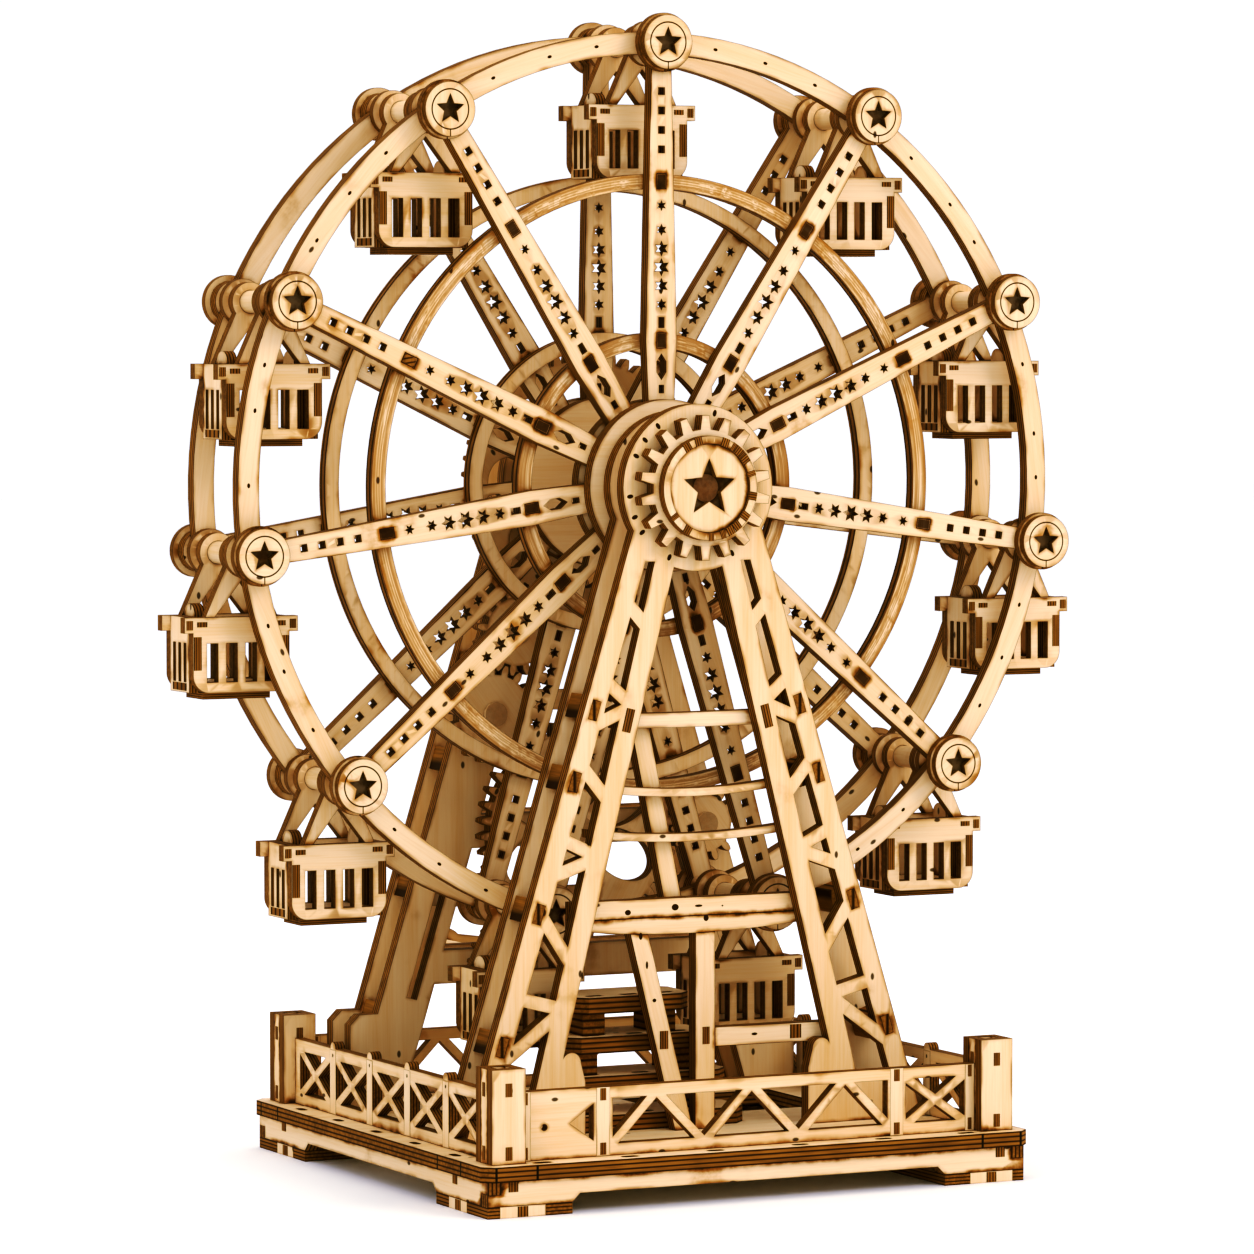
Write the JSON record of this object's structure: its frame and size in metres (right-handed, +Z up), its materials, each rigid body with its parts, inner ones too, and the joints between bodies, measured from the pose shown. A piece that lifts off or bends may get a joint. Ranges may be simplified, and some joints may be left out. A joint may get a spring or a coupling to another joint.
{
  "type": "crank ferris wheel toy",
  "caption": "Hand-cranked plywood ferris wheel: a spoked wheel with level hanging cabins on two A-frames, driven by wooden gears, on a fenced deck.",
  "frame": {"origin": "on the ground, under the middle of the bounding box", "axes": "+X to the right along the front, +Y to the back where the crank is, +Z up"},
  "size_m": [0.288, 0.19, 0.3365],
  "materials": {
    "birch_ply": "matte laser-cut birch plywood with burnt edges",
    "birch_veneer": "matte thin birch plywood",
    "beech_dowel": "matte turned dowel",
    "charred_ply": "matte plywood with scorched edges"
  },
  "bodies": {
    "stand": {"boarding_stair": "charred_ply", "cross_beam": "birch_ply", "deck": "birch_ply", "fence_back": "birch_ply", "fence_front": "birch_ply", "fence_left": "birch_ply", "fence_right": "birch_ply", "foot_pads": "charred_ply", "front_frame_inner": "birch_ply", "front_frame_outer": "birch_ply", "front_frame_spacers": "birch_ply", "gear_spindles": "beech_dowel", "king_post_braces": "birch_ply", "rear_cross_rails": "birch_ply", "rear_frame_inner": "birch_ply", "rear_frame_outer": "birch_ply", "rear_frame_spacers": "birch_ply", "skirt_back": "birch_ply", "skirt_front": "birch_ply", "skirt_left": "birch_ply", "skirt_right": "birch_ply", "tower_back_left": "birch_ply", "tower_back_right": "birch_ply", "tower_front_left": "birch_ply", "tower_front_right": "birch_ply"},
    "wheel": {"wheel_axle": "beech_dowel", "hub_discs": "birch_ply", "hub_gear": "birch_ply", "star_cap": "birch_veneer", "spokes_front": "birch_ply", "spokes_rear": "birch_ply", "rim_front": "birch_ply", "rim_rear": "birch_ply", "hoop_front_large": "birch_ply", "hoop_front_small": "birch_ply", "hoop_rear_large": "birch_ply", "hoop_rear_small": "birch_ply", "star_discs": "birch_veneer", "dowel_discs": "birch_veneer", "cabin_dowels": "beech_dowel", "wheel_gear": "birch_ply"},
    "cabin_01": {"cabin_01": "birch_ply"},
    "cabin_02": {"cabin_02": "birch_ply"},
    "cabin_03": {"cabin_03": "birch_ply"},
    "cabin_04": {"cabin_04": "birch_ply"},
    "cabin_05": {"cabin_05": "birch_ply"},
    "cabin_06": {"cabin_06": "birch_ply"},
    "cabin_07": {"cabin_07": "birch_ply"},
    "cabin_08": {"cabin_08": "birch_ply"},
    "cabin_09": {"cabin_09": "birch_ply"},
    "cabin_10": {"cabin_10": "birch_ply"},
    "cabin_11": {"cabin_11": "birch_ply"},
    "idler": {"idler_gear": "birch_ply"},
    "middle": {"middle_gear": "birch_ply"},
    "main": {"main_gear": "birch_ply"},
    "counter": {"counter_gear": "birch_ply"},
    "crank": {"crank_gear": "birch_ply", "crank_shaft": "beech_dowel", "crank_arm": "birch_ply", "crank_knob": "beech_dowel"}
  },
  "joints": [
    {"name": "wheel_spin", "type": "hinge", "parent": "stand", "child": "wheel", "pos_m": [0, -0.008, 0.2], "axis": [0, 1, 0], "continuous": true},
    {"name": "cabin_01_hang", "type": "hinge", "parent": "wheel", "child": "cabin_01", "pos_m": [0, -0.008, 0.328], "axis": [0, 1, 0], "continuous": true},
    {"name": "cabin_02_hang", "type": "hinge", "parent": "wheel", "child": "cabin_02", "pos_m": [0.0692, -0.008, 0.30768], "axis": [0, 1, 0], "continuous": true},
    {"name": "cabin_03_hang", "type": "hinge", "parent": "wheel", "child": "cabin_03", "pos_m": [0.11643, -0.008, 0.25317], "axis": [0, 1, 0], "continuous": true},
    {"name": "cabin_04_hang", "type": "hinge", "parent": "wheel", "child": "cabin_04", "pos_m": [0.1267, -0.008, 0.18178], "axis": [0, 1, 0], "continuous": true},
    {"name": "cabin_05_hang", "type": "hinge", "parent": "wheel", "child": "cabin_05", "pos_m": [0.09674, -0.008, 0.11618], "axis": [0, 1, 0], "continuous": true},
    {"name": "cabin_06_hang", "type": "hinge", "parent": "wheel", "child": "cabin_06", "pos_m": [0.03606, -0.008, 0.07719], "axis": [0, 1, 0], "continuous": true},
    {"name": "cabin_07_hang", "type": "hinge", "parent": "wheel", "child": "cabin_07", "pos_m": [-0.03606, -0.008, 0.07719], "axis": [0, 1, 0], "continuous": true},
    {"name": "cabin_08_hang", "type": "hinge", "parent": "wheel", "child": "cabin_08", "pos_m": [-0.09674, -0.008, 0.11618], "axis": [0, 1, 0], "continuous": true},
    {"name": "cabin_09_hang", "type": "hinge", "parent": "wheel", "child": "cabin_09", "pos_m": [-0.1267, -0.008, 0.18178], "axis": [0, 1, 0], "continuous": true},
    {"name": "cabin_10_hang", "type": "hinge", "parent": "wheel", "child": "cabin_10", "pos_m": [-0.11643, -0.008, 0.25317], "axis": [0, 1, 0], "continuous": true},
    {"name": "cabin_11_hang", "type": "hinge", "parent": "wheel", "child": "cabin_11", "pos_m": [-0.0692, -0.008, 0.30768], "axis": [0, 1, 0], "continuous": true},
    {"name": "idler_spin", "type": "hinge", "parent": "stand", "child": "idler", "pos_m": [-0.02209, -0.008, 0.1557], "axis": [0, 1, 0], "continuous": true},
    {"name": "middle_spin", "type": "hinge", "parent": "stand", "child": "middle", "pos_m": [-0.02976, -0.008, 0.13138], "axis": [0, 1, 0], "continuous": true},
    {"name": "main_spin", "type": "hinge", "parent": "stand", "child": "main", "pos_m": [-0.00156, -0.008, 0.09631], "axis": [0, 1, 0], "continuous": true},
    {"name": "counter_spin", "type": "hinge", "parent": "stand", "child": "counter", "pos_m": [0.04044, -0.008, 0.09631], "axis": [0, 1, 0], "continuous": true},
    {"name": "crank_spin", "type": "hinge", "parent": "stand", "child": "crank", "pos_m": [-0.02234, -0.008, 0.0564], "axis": [0, 1, 0], "continuous": true}
  ],
  "couplings": [
    {"joint": "cabin_01_hang", "follows": "wheel_spin", "ratio": -1},
    {"joint": "cabin_02_hang", "follows": "wheel_spin", "ratio": -1},
    {"joint": "cabin_03_hang", "follows": "wheel_spin", "ratio": -1},
    {"joint": "cabin_04_hang", "follows": "wheel_spin", "ratio": -1},
    {"joint": "cabin_05_hang", "follows": "wheel_spin", "ratio": -1},
    {"joint": "cabin_06_hang", "follows": "wheel_spin", "ratio": -1},
    {"joint": "cabin_07_hang", "follows": "wheel_spin", "ratio": -1},
    {"joint": "cabin_08_hang", "follows": "wheel_spin", "ratio": -1},
    {"joint": "cabin_09_hang", "follows": "wheel_spin", "ratio": -1},
    {"joint": "cabin_10_hang", "follows": "wheel_spin", "ratio": -1},
    {"joint": "cabin_11_hang", "follows": "wheel_spin", "ratio": -1},
    {"joint": "idler_spin", "follows": "wheel_spin", "ratio": -3.125},
    {"joint": "middle_spin", "follows": "wheel_spin", "ratio": 2.7778},
    {"joint": "main_spin", "follows": "wheel_spin", "ratio": -1.1905},
    {"joint": "counter_spin", "follows": "wheel_spin", "ratio": 3.5714},
    {"joint": "crank_spin", "follows": "wheel_spin", "ratio": 2.7778}
  ]
}
